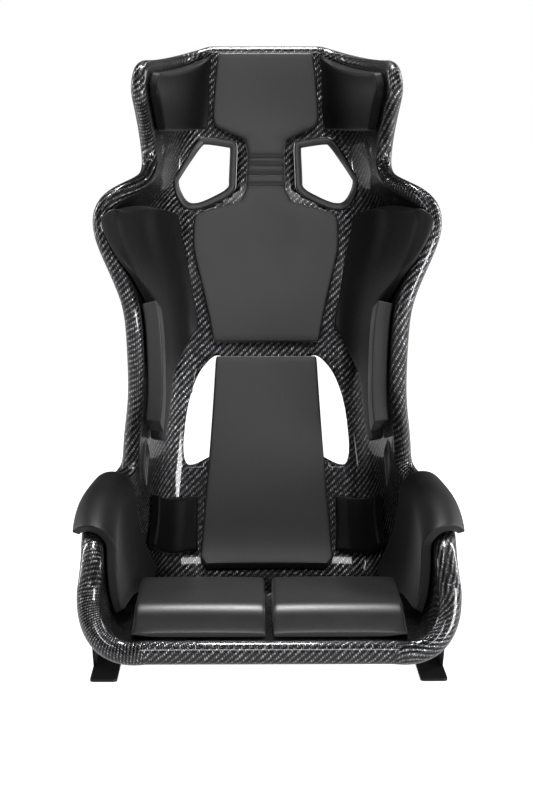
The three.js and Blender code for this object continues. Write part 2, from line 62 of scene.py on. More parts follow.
# Sections of the bucket, from the front lip to the top of the head:
# spine (y, z), half width of the flat middle, sharp corner (x, y, z), rim (x, y, z), roll radius.
SECTIONS = np.array([
    (-300, 84, 184, 258, -303, 73, 249, -268, 152, 17.5),
    (-235, 73, 173, 253, -238, 71, 246, -232, 190, 17.5),
    (-150, 62, 170, 247, -150, 61, 249, -182, 216, 17),
    (-60, 55, 164, 242, -60, 54, 249, -110, 236, 16),
    (20, 54, 156, 236, 15, 55, 242, -45, 247, 15.5),
    (85, 68, 147, 224, 72, 72, 227, 10, 261, 15),
    (127, 120, 140, 210, 113, 120, 208, 38, 287, 14.5),
    (148, 210, 134, 200, 138, 212, 202, 28, 340, 14),
    (170, 320, 128, 192, 160, 322, 195, 5, 405, 13.5),
    (194, 430, 124, 192, 184, 432, 195, -15, 490, 13.5),
    (215, 525, 124, 200, 205, 525, 203, -20, 560, 13.5),
    (236, 610, 128, 216, 224, 610, 230, -15, 628, 13.5),
    (254, 690, 128, 214, 240, 690, 244, 5, 698, 13.5),
    (267, 750, 116, 180, 255, 748, 190, 76, 734, 13),
    (276, 805, 104, 168, 263, 805, 177, 112, 792, 13),
    (283, 860, 98, 167, 269, 860, 186, 62, 860, 12.5),
    (288, 915, 96, 167, 273, 907, 191, 44, 893, 12),
    (292, 955, 92, 160, 278, 922, 187, 57, 922, 11.5),
], float)
LAST = len(SECTIONS) - 1

# ---------------------------------------------------------------- the bucket's surface


def spline_bends(values):
    """Second derivatives of the natural cubic spline through equally spaced rows."""
    n = len(values)
    matrix = np.eye(n)
    right = np.zeros_like(values)
    for i in range(1, n - 1):
        matrix[i, i - 1:i + 2] = 1, 4, 1
        right[i] = 6 * (values[i + 1] - 2 * values[i] + values[i - 1])
    return np.linalg.solve(matrix, right)


BENDS = spline_bends(SECTIONS)


def section_at(s):
    place = np.clip(s, 0, LAST)
    i = np.minimum(place.astype(int), LAST - 1)
    f = (place - i)[..., None]
    low, high = SECTIONS[i], SECTIONS[i + 1]
    bend = ((1 - f) ** 3 - (1 - f)) * BENDS[i] / 6 + (f ** 3 - f) * BENDS[i + 1] / 6
    return (1 - f) * low + f * high + bend


def face_point(u, s):
    """Point of the inner face: u is 0 on the centre line and 1 on the rim."""
    row = section_at(s)
    foot = np.stack([row[..., 2], row[..., 0], row[..., 1]], -1)
    corner, rim = row[..., 3:6], row[..., 6:9]
    across = np.abs(u)
    flat = foot.copy()
    flat[..., 0] *= np.clip(across / FLAT_SHARE, 0, 1)
    t = np.clip((across - FLAT_SHARE) / (1 - FLAT_SHARE), 0, 1)[..., None]
    low = foot + HOLLOW[0] * (corner - foot)
    high = rim + HOLLOW[1] * (corner - rim)
    wall = (1 - t) ** 3 * foot + 3 * (1 - t) ** 2 * t * low + 3 * (1 - t) * t * t * high + t ** 3 * rim
    point = np.where((across <= FLAT_SHARE)[..., None], flat, wall)
    point[..., 0] *= np.where(u < 0, -1, 1)
    return point


def unit(v):
    return v / np.linalg.norm(v, axis=-1, keepdims=True)


def face_normal(u, s):
    """Unit normal towards the occupant."""
    step = 0.002
    u = np.clip(u, -1, 1) * 0.995
    s = np.clip(s, 0.02, LAST - 0.02)
    du = face_point(u + step, s) - face_point(u - step, s)
    ds = face_point(u, s + step) - face_point(u, s - step)
    return unit(np.cross(du, ds))


def lifted(u, s, height):
    """Point at a height above the inner face; past |u| = 1 the face goes on round the rolled rim."""
    u, s, height = np.broadcast_arrays(*(np.asarray(v, float) for v in (u, s, height)))
    side = np.where(u < 0, -1.0, 1.0)
    n = face_normal(u, s)
    inside = face_point(np.clip(u, -1, 1), s)
    ahead = face_point(side, np.clip(s + 0.05, 0, LAST))
    behind = face_point(side, np.clip(s - 0.05, 0, LAST))
    out = unit(np.cross(ahead - behind, n)) * side[..., None]
    turn = (np.maximum(np.abs(u), 1) - 1)[..., None] * 2 * math.pi
    roll = section_at(s)[..., 9:10]
    arm = roll + height[..., None]
    return inside - roll * n + arm * np.cos(turn) * n + arm * np.sin(turn) * out


# ---------------------------------------------------------------- mesh helpers


def in_metres(points):
    shifted = np.asarray(points, float).reshape(-1, 3) * MM
    shifted[:, 1] -= CENTRE_Y * MM
    return shifted


def new_object(name, points, faces, uv=None):
    """A smooth-shaded object from points in mm; uv gives one pair in metres for each point."""
    mesh = bpy.data.meshes.new(name)
    mesh.from_pydata(in_metres(points).tolist(), [], [list(map(int, f)) for f in faces])
    if uv is not None:
        layer = mesh.uv_layers.new(name="weave")
        corners = np.empty(len(mesh.loops), int)
        mesh.loops.foreach_get("vertex_index", corners)
        layer.data.foreach_set("uv", (np.asarray(uv) * MM)[corners].ravel())
    mesh.polygons.foreach_set("use_smooth", [True] * len(mesh.polygons))
    mesh.update()
    obj = bpy.data.objects.new(name, mesh)
    bpy.context.scene.collection.objects.link(obj)
    return obj


def grid_faces(index):
    """Quads over a 2-D array of point numbers, facing the occupant when rows run along s."""
    a, b = index[:-1, :-1], index[:-1, 1:]
    c, d = index[1:, 1:], index[1:, :-1]
    return np.stack([a, b, c, d], -1).reshape(-1, 4)


def border_of(index):
    """The border of a 2-D array of point numbers, once round, from its first corner."""
    return np.concatenate([index[0, :-1], index[:-1, -1], index[-1, :0:-1], index[:0:-1, 0]])


def strip_faces(first, second):
    """Quads between two closed rings of point numbers, the second lying outwards or below."""
    return np.stack([np.roll(first, -1), first, second, np.roll(second, -1)], -1)


def finish_piece(obj, material, nodes):
    obj.data.materials.clear()
    obj.data.materials.append(material)
    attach(obj, "root")
    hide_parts(*nodes)
    return obj


def baked(obj):
    """Applies the modifiers."""
    bpy.context.view_layer.update()
    graph = bpy.context.evaluated_depsgraph_get()
    result = obj.evaluated_get(graph)
    mesh = bpy.data.meshes.new_from_object(result, preserve_all_data_layers=True, depsgraph=graph)
    obj.modifiers.clear()
    obj.data = mesh
    return obj


# ---------------------------------------------------------------- node material helpers


class Nodes:
    """Short words for building a material's node tree."""

    def __init__(self, name):
        self.material = bpy.data.materials.new(name)
        self.material.use_nodes = True
        self.tree = self.material.node_tree
        self.surface = self.tree.nodes["Principled BSDF"]

    def node(self, kind, **settings):
        made = self.tree.nodes.new(kind)
        for key, value in settings.items():
            setattr(made, key, value)
        return made

    def feed(self, socket, value):
        if isinstance(value, bpy.types.NodeSocket):
            self.tree.links.new(value, socket)
        else:
            socket.default_value = value

    def math(self, operation, *values):
        made = self.node("ShaderNodeMath", operation=operation)
        for socket, value in zip(made.inputs, values):
            self.feed(socket, value)
        return made.outputs[0]

    def mix(self, factor, a, b):
        made = self.node("ShaderNodeMix", data_type="FLOAT")
        for socket, value in zip(made.inputs[:1] + made.inputs[2:4], (factor, a, b)):
            self.feed(socket, value)
        return made.outputs[0]

    def mix_colour(self, factor, a, b):
        made = self.node("ShaderNodeMix", data_type="RGBA")
        for socket, value in zip((made.inputs[0], made.inputs[6], made.inputs[7]), (factor, a, b)):
            self.feed(socket, value)
        return made.outputs[2]

    def noise(self, scale, vector=None, detail=2.0):
        made = self.node("ShaderNodeTexNoise")
        made.inputs["Scale"].default_value = scale
        made.inputs["Detail"].default_value = detail
        self.feed(made.inputs["Vector"], vector or self.node("ShaderNodeTexCoord").outputs["Object"])
        return made.outputs["Fac"]

    def bump(self, height, distance, strength=1.0, normal=None):
        made = self.node("ShaderNodeBump")
        made.inputs["Strength"].default_value = strength
        made.inputs["Distance"].default_value = distance
        self.feed(made.inputs["Height"], height)
        if normal is not None:
            self.feed(made.inputs["Normal"], normal)
        return made.outputs[0]

    def set(self, **values):
        for key, value in values.items():
            self.feed(self.surface.inputs[key.replace("_", " ")], value)
        return self.material


GREY = lambda level: (level, level, level * 1.04, 1)


def carbon_material():
    """2/2 twill of carbon tows under a clear gloss coat, drawn in the weave UV map, in metres; the base
    colour holds a painted reflection, painted shade between tows and painted glints.
    """
    n = Nodes("carbon_twill")
    tow = 0.0028
    uv = n.node("ShaderNodeUVMap", uv_map="weave").outputs[0]
    split = n.node("ShaderNodeSeparateXYZ")
    n.feed(split.inputs[0], uv)
    across = n.math("DIVIDE", split.outputs[0], tow)
    along = n.math("DIVIDE", split.outputs[1], tow)
    column, row = n.math("FLOOR", across), n.math("FLOOR", along)
    in_column, in_row = n.math("FRACT", across), n.math("FRACT", along)
    step = n.math("FLOORED_MODULO", n.math("SUBTRACT", row, column), 4.0)
    warp_on_top = n.math("LESS_THAN", step, 2.0)

    def tow_shape(cross, run):
        round_back = n.math("SINE", n.math("MULTIPLY", cross, math.pi))
        float_arch = n.math("SINE", n.math("MULTIPLY", run, math.pi))
        return n.math("MULTIPLY", n.math("POWER", round_back, 0.5), n.mix(0.55, 1.0, float_arch))

    warp_run = n.math("DIVIDE", n.math("ADD", step, in_row), 2.0)
    weft_step = n.math("FLOORED_MODULO", n.math("SUBTRACT", n.math("SUBTRACT", column, row), 1.0), 4.0)
    weft_run = n.math("DIVIDE", n.math("ADD", weft_step, in_column), 2.0)
    height = n.mix(warp_on_top, tow_shape(in_row, weft_run), tow_shape(in_column, warp_run))
    fibres = n.node("ShaderNodeMapping")
    n.feed(fibres.inputs["Vector"], uv)
    fibres.inputs["Scale"].default_value = (9000, 500, 1)
    warp_fibre = n.noise(1.0, fibres.outputs[0], 1.0)
    fibres_across = n.node("ShaderNodeMapping")
    n.feed(fibres_across.inputs["Vector"], uv)
    fibres_across.inputs["Scale"].default_value = (500, 9000, 1)
    weft_fibre = n.noise(1.0, fibres_across.outputs[0], 1.0)
    fibre = n.mix(warp_on_top, weft_fibre, warp_fibre)
    cell = n.node("ShaderNodeCombineXYZ")
    n.feed(cell.inputs[0], n.math("ADD", column, n.math("MULTIPLY", warp_on_top, 0.5)))
    n.feed(cell.inputs[1], row)
    chance = n.node("ShaderNodeTexWhiteNoise", noise_dimensions="2D")
    n.feed(chance.inputs["Vector"], cell.outputs[0])
    painted_glint = n.math("POWER", chance.outputs["Value"], 3.0)
    # painted reflection: warp tows are painted lighter than weft tows, standing in for the different sheen of
    # the same fibre laid two ways
    shade = n.mix(warp_on_top, 0.005, 0.15)
    # painted shade: the base colour is darker where the tow's rounded back falls away, between the tows
    shade = n.math("MULTIPLY", shade, n.mix(n.math("POWER", height, 2.0), 0.05, 1.2))
    shade = n.math("MULTIPLY", shade, n.mix(fibre, 0.7, 1.3))
    # painted glints: a few random tows are painted up to 2.6 times lighter, standing in for sparkles of light
    # off the weave
    shade = n.math("MULTIPLY", shade, n.mix(painted_glint, 0.45, 2.6))
    colour = n.node("ShaderNodeCombineColor")
    for channel, tint in zip(colour.inputs, (1.0, 1.0, 1.05)):
        n.feed(channel, n.math("MULTIPLY", shade, tint))
    roughness = n.mix(fibre, 0.24, 0.32)
    n.set(Base_Color=colour.outputs[0], Roughness=roughness, Metallic=0.8,
          Normal=n.bump(height, 0.0008, 0.7))
    return n.set(Coat_Weight=0.5, Coat_Roughness=0.07, Coat_IOR=1.5)


def cover_material(name, dark, pale, shine, rough=0.45):
    """Black satin cover drawn over foam: fine pebble grain and slow changes of gloss.

    dark and pale: the two base greys; shine: specular level; rough: lowest roughness."""
    n = Nodes(name)
    place = n.node("ShaderNodeTexCoord").outputs["Object"]
    cells = n.node("ShaderNodeTexVoronoi", feature="SMOOTH_F1")
    cells.inputs["Scale"].default_value = 1500
    n.feed(cells.inputs["Vector"], place)
    slow = n.noise(7.0, place, 2.0)
    patchy = n.noise(60.0, place, 3.0)
    grain = n.bump(cells.outputs["Distance"], 0.00006, 0.35)
    normal = n.bump(slow, 0.0012, 0.35, grain)
    roughness = n.math("ADD", n.mix(patchy, rough, rough + 0.07), n.mix(slow, -0.03, 0.03))
    n.set(Base_Color=n.mix_colour(patchy, GREY(dark), GREY(pale)), Roughness=roughness, Normal=normal)
    return n.set(Specular_IOR_Level=shine, Sheen_Weight=0.05, Sheen_Roughness=0.4)


def rubber_material():
    n = Nodes("edge_rubber")
    fine = n.noise(900.0)
    coarse = n.noise(40.0)
    n.set(Base_Color=n.mix_colour(coarse, GREY(0.012), GREY(0.02)), Roughness=n.mix(coarse, 0.4, 0.52))
    return n.set(Normal=n.bump(fine, 0.00008, 0.5))


def steel_material():
    """Black powder coat with its orange-peel skin."""
    n = Nodes("black_powder_coat")
    peel = n.noise(420.0, detail=3.0)
    wear = n.noise(18.0)
    n.set(Base_Color=n.mix_colour(wear, GREY(0.004), GREY(0.007)), Roughness=n.mix(wear, 0.36, 0.5))
    return n.set(Normal=n.bump(peel, 0.00015, 0.5), Specular_IOR_Level=0.3)


def zinc_material():
    n = Nodes("zinc_plate")
    grain = n.noise(700.0, detail=4.0)
    cloud = n.noise(90.0)
    n.set(Base_Color=n.mix_colour(cloud, (0.5, 0.5, 0.48, 1), (0.62, 0.62, 0.6, 1)), Metallic=1.0)
    return n.set(Roughness=n.mix(grain, 0.22, 0.42), Normal=n.bump(grain, 0.00005, 0.5))


def tape_material():
    """Hook-and-loop tape: a field of tiny loops."""
    n = Nodes("hook_tape")
    loops = n.node("ShaderNodeTexVoronoi")
    loops.inputs["Scale"].default_value = 900
    n.feed(loops.inputs["Vector"], n.node("ShaderNodeTexCoord").outputs["Object"])
    shade = n.mix_colour(loops.outputs["Distance"], GREY(0.02), GREY(0.004))
    n.set(Base_Color=shade, Roughness=0.9, Normal=n.bump(loops.outputs["Distance"], 0.0005, 0.8))
    return n.set(Sheen_Weight=0.3)


CARBON = carbon_material()
COVER = cover_material("pad_cover", 0.007, 0.011, 0.5)
# Painted shade: the side and hip covers are darker, less glossy copies of the one satin pad cover, standing
# in for the shade on the bolster, wing, thigh and hip pads, which face away from the light
SIDE_COVER_PAINTED_SHADE = cover_material("side_pad_cover_painted_shade", 0.004, 0.006, 0.22)
HIP_COVER_PAINTED_SHADE = cover_material("hip_pad_cover_painted_shade", 0.002, 0.003, 0.1)
# Painted shade: a darker copy of the pad cover for the cushions, standing in for the shade on their faces;
# its lower roughness concentrates the ridge highlight
CUSHION_COVER_PAINTED_SHADE = cover_material("cushion_cover_painted_shade", 0.004, 0.007, 0.45, 0.35)
RUBBER = rubber_material()
STEEL = steel_material()
ZINC = zinc_material()
TAPE = tape_material()

# ---------------------------------------------------------------- outlines on the bucket, as rungs

SHOULDER_BELT_HOLE = [
    ((0.35, 12.0), (0.45, 12.0)),
    ((0.17, 12.44), (0.55, 12.56)),
    ((0.18, 13.02), (0.615, 13.02)),
    ((0.19, 13.95), (0.475, 14.04)),
    ((0.22, 14.03), (0.43, 14.17)),
]
LOWER_BACK_HOLE = [
    ((0.24, 7.78), (0.42, 7.5)),
    ((0.24, 7.95), (0.466, 7.75)),
    ((0.24, 8.4), (0.45, 8.35)),
    ((0.24, 8.85), (0.39, 8.9)),
    ((0.24, 9.18), (0.3, 9.2)),
]
LAP_BELT_HOLE = [
    ((0.81, 6.5), (0.9, 6.5)),
    ((0.81, 6.95), (0.9, 6.95)),
    ((0.81, 7.35), (0.9, 7.35)),
]
HEAD_CHEST_PAD = [
    ((-0.3, 9.4), (0.3, 9.4)),
    ((-0.4, 11.1), (0.4, 11.1)),
    ((-0.395, 11.85), (0.395, 11.85)),
    ((-0.145, 12.15), (0.145, 12.15)),
    ((-0.115, 12.5), (0.115, 12.5)),
    ((-0.12, 13.6), (0.12, 13.6)),
    ((-0.145, 14.05), (0.145, 14.05)),
    ((-0.385, 14.5), (0.385, 14.5)),
    ((-0.36, 16.88), (0.36, 16.88)),
]
# the first two rungs of this pad round its lower corners
LOWER_BACK_PAD = [
    ((-0.3, 5.7), (0.3, 5.7)),
    ((-0.329, 5.9), (0.329, 5.9)),
    ((-0.325, 6.6), (0.325, 6.6)),
    ((-0.285, 9.15), (0.285, 9.15)),
]
HEAD_SIDE_PAD = [
    ((0.43, 14.36), (0.99, 14.42)),
    ((0.42, 15.4), (0.99, 15.5)),
    ((0.41, 16.88), (0.975, 16.8)),
]
SHOULDER_BOLSTER = [
    ((0.78, 7.62), (0.855, 7.5)),
    ((0.7, 8.75), (0.855, 8.7)),
    ((0.55, 9.25), (0.855, 9.5)),
    ((0.38, 9.65), (0.86, 10.0)),
    ((0.46, 10.9), (1.16, 10.9)),
    ((0.52, 11.85), (1.22, 11.7)),
]
WAIST_PAD = [
    ((0.875, 7.6), (0.985, 7.5)),
    ((0.875, 8.7), (0.985, 8.7)),
    ((0.875, 9.86), (0.985, 9.92)),
]
KIDNEY_PAD = [
    ((0.345, 6.1), (0.72, 5.55)),
    ((0.355, 6.6), (0.74, 6.15)),
    ((0.36, 7.08), (0.76, 6.65)),
]
THIGH_BOLSTER = [
    ((0.71, 1.0), (1.44, 1.9)),
    ((0.69, 2.6), (1.44, 3.0)),
    ((0.63, 4.0), (1.43, 3.9)),
    ((0.64, 5.2), (1.4, 4.6)),
]
RIB_PLACES = [12.62, 12.95, 13.25, 13.5]


def on_side(side, rungs):
    """The rungs for one side: the left side is the mirror image."""
    if side > 0:
        return rungs
    return [((-b[0], b[1]), (-a[0], a[1])) for a, b in rungs]


def ladder_outline(rungs):
    """The outline of a ladder as one closed polygon, anticlockwise seen by the occupant."""
    return np.array([a for a, _ in rungs[:1]] + [b for _, b in rungs] + [a for a, _ in rungs[:0:-1]])


def rounded(polygon, rounds=3, keep=0.22):
    """Corner cutting: each corner becomes a short curve."""
    for _ in range(rounds):
        ahead = np.roll(polygon, -1, axis=0)
        near = polygon + keep * (ahead - polygon)
        far = ahead - keep * (ahead - polygon)
        polygon = np.stack([near, far], 1).reshape(-1, 2)
    return polygon


# ---------------------------------------------------------------- the shell

TOP_CORNER_FROM = LAST - 0.4
TOP_CORNER_DEPTH = 0.06
ROLL_STEPS = 14


def reach(s):
    """How far |u| goes at s: it shrinks near the top, which rounds the two top corners."""
    t = np.clip((s - TOP_CORNER_FROM) / (LAST - TOP_CORNER_FROM), 0, 1)
    return 1 - TOP_CORNER_DEPTH * (1 - np.sqrt(1 - t * t))


def shell_rows(per_section):
    straight = np.arange(0, TOP_CORNER_FROM - 0.5 / per_section, 1 / per_section)
    turn = TOP_CORNER_FROM + (LAST - TOP_CORNER_FROM) * np.sin(np.linspace(0, math.pi / 2, 12))
    return np.concatenate([straight, turn])


def cloth_lengths(u, s):
    """Where each grid point lies in the cloth, in mm: along its own row and its own column."""
    points = face_point(u, s)
    middle = u.shape[1] // 2
    start_row = int(np.argmin(np.abs(s[:, 0] - 10)))
    across = np.linalg.norm(np.diff(points, axis=1), axis=2).cumsum(1)
    across = np.pad(across, ((0, 0), (1, 0)))
    along = np.linalg.norm(np.diff(points, axis=0), axis=2).cumsum(0)
    along = np.pad(along, ((1, 0), (0, 0)))
    return np.stack([across - across[:, middle:middle + 1], along - along[start_row:start_row + 1]], -1)


def shell_blank():
    """The laminate before its openings are cut: inner face, rolled rim and outer face."""
    per_section = 12
    half = np.concatenate([np.linspace(0, FLAT_SHARE, 10), np.linspace(FLAT_SHARE, 1, 44)[1:]])
    share = np.concatenate([-half[:0:-1], half])
    rows = shell_rows(per_section)
    u = share[None, :] * reach(rows)[:, None]
    s = np.broadcast_to(rows[:, None], u.shape).copy()
    cloth = cloth_lengths(u, s)
    count = u.size
    index = np.arange(count).reshape(u.shape)
    ring = border_of(index)
    ring_u, ring_s = u.ravel()[ring], s.ravel()[ring]
    edge = face_point(ring_u, ring_s)
    normal = face_normal(ring_u, ring_s)
    out = unit(np.cross(np.roll(edge, -1, 0) - np.roll(edge, 1, 0), normal))
    roll = section_at(ring_s)[:, 9:10]
    ring_cloth = cloth.reshape(-1, 2)[ring]
    cloth_run = unit(np.roll(ring_cloth, -1, 0) - np.roll(ring_cloth, 1, 0))
    cloth_out = np.stack([cloth_run[:, 1], -cloth_run[:, 0]], -1)
    turns = np.linspace(0, ROLL_TURN, ROLL_STEPS + 1)[1:]
    points = [lifted(u, s, 0).reshape(-1, 3), lifted(u, s, -LAMINATE).reshape(-1, 3)]
    uvs = [cloth.reshape(-1, 2)] * 2
    rings = [ring]
    total = 2 * count
    for reduce, order in ((0, turns), (LAMINATE, turns[::-1])):
        for turn in order:
            arm = roll - reduce
            points.append(edge - roll * normal + arm * math.cos(turn) * normal + arm * math.sin(turn) * out)
            uvs.append(ring_cloth + cloth_out * roll * turn)
            rings.append(np.arange(total, total + len(ring)))
            total += len(ring)
    rings.append(ring + count)
    faces = [grid_faces(index), grid_faces(index + count)[:, ::-1]]
    faces += [strip_faces(a, b) for a, b in zip(rings, rings[1:])]
    return new_object("seat_shell_carbon", np.concatenate(points), np.concatenate(faces), np.concatenate(uvs))


def prism(outline, low, high):
    """A closed cutter through the shell: points and faces."""
    u, s = outline[:, 0], outline[:, 1]
    count = len(u)
    points = np.concatenate([
        lifted(u, s, low), lifted(u, s, high),
        [lifted(u.mean(), s.mean(), low), lifted(u.mean(), s.mean(), high)],
    ])
    base, top = np.arange(count), np.arange(count, 2 * count)
    sides = strip_faces(top, base)
    floor = [(b, a, 2 * count) for a, b in zip(base, np.roll(base, -1))]
    cover = [(a, b, 2 * count + 1) for a, b in zip(top, np.roll(top, -1))]
    return points, [list(f) for f in sides] + floor + cover


def joined(name, solids):
    points, faces, start = [], [], 0
    for p, f in solids:
        points.append(p)
        faces += [[i + start for i in face] for face in f]
        start += len(p)
    return new_object(name, np.concatenate(points), faces)


def boolean(obj, other, operation):
    change = obj.modifiers.new(operation.lower(), "BOOLEAN")
    change.object = other
    change.operation = operation
    change.solver = "MANIFOLD"
    baked(obj)
    bpy.data.objects.remove(other)
    return obj


def mounting_land(side, front, rear):
    """A thick place on the side wall, flat on the outside, where the bracket is screwed on."""
    low = np.array([LAND_INSIDE, front - LAND_PAST_SCREW, SCREW_HEIGHT - LAND_HALF_HEIGHT])
    high = np.array([LAND_FACE, rear + LAND_PAST_SCREW, SCREW_HEIGHT + LAND_HALF_HEIGHT])
    corners = np.array([[x, y, z] for x in (0, 1) for y in (0, 1) for z in (0, 1)])
    points = low + corners * (high - low)
    points[:, 0] *= side
    faces = np.array([(0, 1, 3, 2), (4, 6, 7, 5), (0, 4, 5, 1), (2, 3, 7, 6), (0, 2, 6, 4), (1, 5, 7, 3)])
    cloth = np.stack([points[:, 1], points[:, 2]], -1)
    block = new_object("land", points, faces if side > 0 else faces[:, ::-1], cloth)
    inside = [((0.45, 0.2), (0.99, 0.2)), ((0.45, 6), (0.99, 6))]
    u, s = ladder_grid(on_side(side, inside), np.linspace(0, 1, 90), np.tile(np.linspace(0, 1, 50), (90, 1)))
    return boolean(block, slab(u, s, -0.6 * LAMINATE, 60), "DIFFERENCE")


def slab(u, s, low, high):
    """A closed solid over a grid of places, between two heights."""
    count = u.size
    index = np.arange(count).reshape(u.shape)
    ring = border_of(index)
    points = np.concatenate([lifted(u, s, high).reshape(-1, 3), lifted(u, s, low).reshape(-1, 3)])
    faces = [grid_faces(index), grid_faces(index + count)[:, ::-1], strip_faces(ring, ring + count)]
    return new_object("slab", points, np.concatenate(faces))


def insert_bore(side, y):
    """A closed cylinder along X where a threaded insert sits: points and faces."""
    count = 32
    turn = np.linspace(0, 2 * math.pi, count + 1)[:-1]
    across, up = BORE_RADIUS * np.cos(turn), BORE_RADIUS * np.sin(turn)
    rim = np.stack([np.zeros(count), y + across, SCREW_HEIGHT + up], -1)
    start, end = side * (LAND_FACE - BORE_DEPTH), side * (LAND_FACE + 6)
    points = np.concatenate([rim + (start, 0, 0), rim + (end, 0, 0)])
    first, last = np.arange(count), np.arange(count, 2 * count)
    faces = [list(f) for f in strip_faces(first, last)] + [list(first), list(last[::-1])]
    return points, faces if side < 0 else [f[::-1] for f in faces]


def make_shell():
    shell = shell_blank()
    holes = []
    cutters = []
    for side in (-1, 1):
        for front, rear in (SCREW_AT[:2], SCREW_AT[2:]):
            boolean(shell, mounting_land(side, front, rear), "UNION")
        for hole in (SHOULDER_BELT_HOLE, LOWER_BACK_HOLE, LAP_BELT_HOLE):
            holes.append(ladder_outline(on_side(side, hole)))
        cutters += [insert_bore(side, y) for y in SCREW_AT]
    cutters += [prism(rounded(hole), -LAMINATE - CUT_BEHIND, CUT_IN_FRONT) for hole in holes]
    boolean(shell, joined("cutter", cutters), "DIFFERENCE")
    return finish_piece(shell, CARBON, ["seat_shell"])


# ---------------------------------------------------------------- belt-opening trims


def trim_ring(name, node, hole, width, front=2.6, back=2.2):
    """A rubber moulding round the edge of an opening, swept along its outline."""
    outline = rounded(ladder_outline(hole), 4)
    u, s = outline[:, 0], outline[:, 1]
    middle = lifted(u, s, 0)
    n = face_normal(u, s)
    along = unit(np.roll(middle, -1, 0) - np.roll(middle, 1, 0))
    inward = unit(np.cross(n, along))
    low = -LAMINATE - back
    lip = 0.6
    section = [
        (lip, low + 1.5), (lip, front - 1.5), (lip + 0.6, front - 0.4), (lip + 2, front),
        (width - 3, front), (width - 1.2, front - 1), (width - 0.3, front - 3), (width, 0),
        (width - 0.3, low + 2), (width - 1.5, low + 0.5), (width - 3, low), (lip + 1, low),
    ]
    points = np.concatenate([middle + a * inward + h * n for a, h in section])
    count = len(u)
    rings = [np.arange(count) + k * count for k in range(len(section))]
    faces = np.concatenate([strip_faces(a, b) for a, b in zip(rings, rings[1:] + rings[:1])])
    obj = new_object(name, points, faces[:, ::-1])
    return finish_piece(obj, RUBBER, [node])


# ---------------------------------------------------------------- pads


def spaced(count, edge, extra=()):
    """Places from 0 to 1 with a support line near each end."""
    inner = np.linspace(edge, 1 - edge, count + 1)
    return np.array(sorted({0.0, 1.0, *inner.tolist(), *extra}))


def ladder_grid(rungs, rows, columns, bows=(0, 0)):
    """u and s over the ladder; columns has one row of shares for each row.

    bows: how far the first and last rungs bulge along s."""
    ends = np.array(rungs, float)
    at = rows * (len(rungs) - 1)
    i = np.minimum(at.astype(int), len(rungs) - 2)
    f = (at - i)[:, None, None]
    ends = ends[i] * (1 - f) + ends[i + 1] * f
    g = columns[..., None]
    place = ends[:, :1] * (1 - g) + ends[:, 1:] * g
    bow = 4 * columns * (1 - columns) * (bows[0] + (bows[1] - bows[0]) * rows)[:, None]
    return place[..., 0], place[..., 1] + bow


def soft_piece(name, points, faces, cover, node):
    """A padded piece from its subdivision cage."""
    obj = new_object(name, points, faces)
    rounder = obj.modifiers.new("round", "SUBSURF")
    rounder.levels = rounder.render_levels = 2
    return finish_piece(obj, cover, [node])


def dome(share):
    """0 at both ends of a run, 1 in its middle."""
    return np.sqrt(np.clip(4 * share * (1 - share), 0, 1))


def ladder_pad(name, node, rungs, low, top, across, along, radius=5.5, crown=2.0, relief=None,
               extra=(), bows=(0, 0), cover=COVER):
    """A moulded pad over a ladder, with rounded edges and a crowned top, as a subdivision cage.

    low and top: heights above the shell, as functions of u."""
    probe = np.linspace(0, 1, 41)
    u, s = ladder_grid(rungs, probe, np.tile([0.0, 0.5, 1.0], (41, 1)))
    mid = lifted(u, s, top(u))
    length = np.linalg.norm(np.diff(mid[:, 1], axis=0), axis=1).sum()
    rows = spaced(along * (len(rungs) - 1), radius / length, extra)
    u, s = ladder_grid(rungs, rows, np.tile([0.0, 1.0], (len(rows), 1)))
    ends = lifted(u, s, top(u))
    width = np.linalg.norm(ends[:, 1] - ends[:, 0], axis=1)
    shares = np.stack([spaced(across, min(radius / w, 0.3)) for w in width])
    u, s = ladder_grid(rungs, rows, shares, bows)
    height = top(u) + crown * dome(rows)[:, None] * dome(shares)
    if relief is not None:
        height = height - relief(s)
    count = u.size
    index = np.arange(count).reshape(u.shape)
    ring = border_of(index)
    ring_u, ring_s = u.ravel()[ring], s.ravel()[ring]
    floor, roof = low(ring_u), top(ring_u)
    points = [lifted(u, s, height).reshape(-1, 3), lifted(u, s, low(u)).reshape(-1, 3)]
    rings = [ring]
    total = 2 * count
    thick = roof - floor
    for band in (roof - np.minimum(0.8 * radius, 0.45 * thick), floor + 0.2 * thick):
        points.append(lifted(ring_u, ring_s, band))
        rings.append(np.arange(total, total + len(ring)))
        total += len(ring)
    rings.append(ring + count)
    faces = [grid_faces(index), grid_faces(index + count)[:, ::-1]]
    faces += [strip_faces(a, b) for a, b in zip(rings, rings[1:])]
    return soft_piece(name, np.concatenate(points), np.concatenate(faces), cover, node)


def neck_ribs(s):
    """Four grooves across the neck between head and chest."""
    return sum(3.0 * np.exp(-((s - place) / 0.05) ** 2) for place in RIB_PLACES)


def level(height):
    return lambda u: np.full(np.shape(u), float(height))


def thinning(thick, at_rim, start):
    """Upper face of a side pad, which gets thinner from the given |u| to the rim."""

    def top(u):
        share = np.clip((np.abs(u) - start) / (1 - start), 0, 1)
        return PAD_LIFT + thick - (thick - at_rim) * share ** 2

    return top


def over_rim(thick, outside):
    """Upper face of a thigh side pad, which gets thinner where it hooks over the rolled rim."""
    return lambda u: PAD_LIFT + thick - (thick - outside) * np.clip((np.abs(u) - 1) / 0.25, 0, 1)


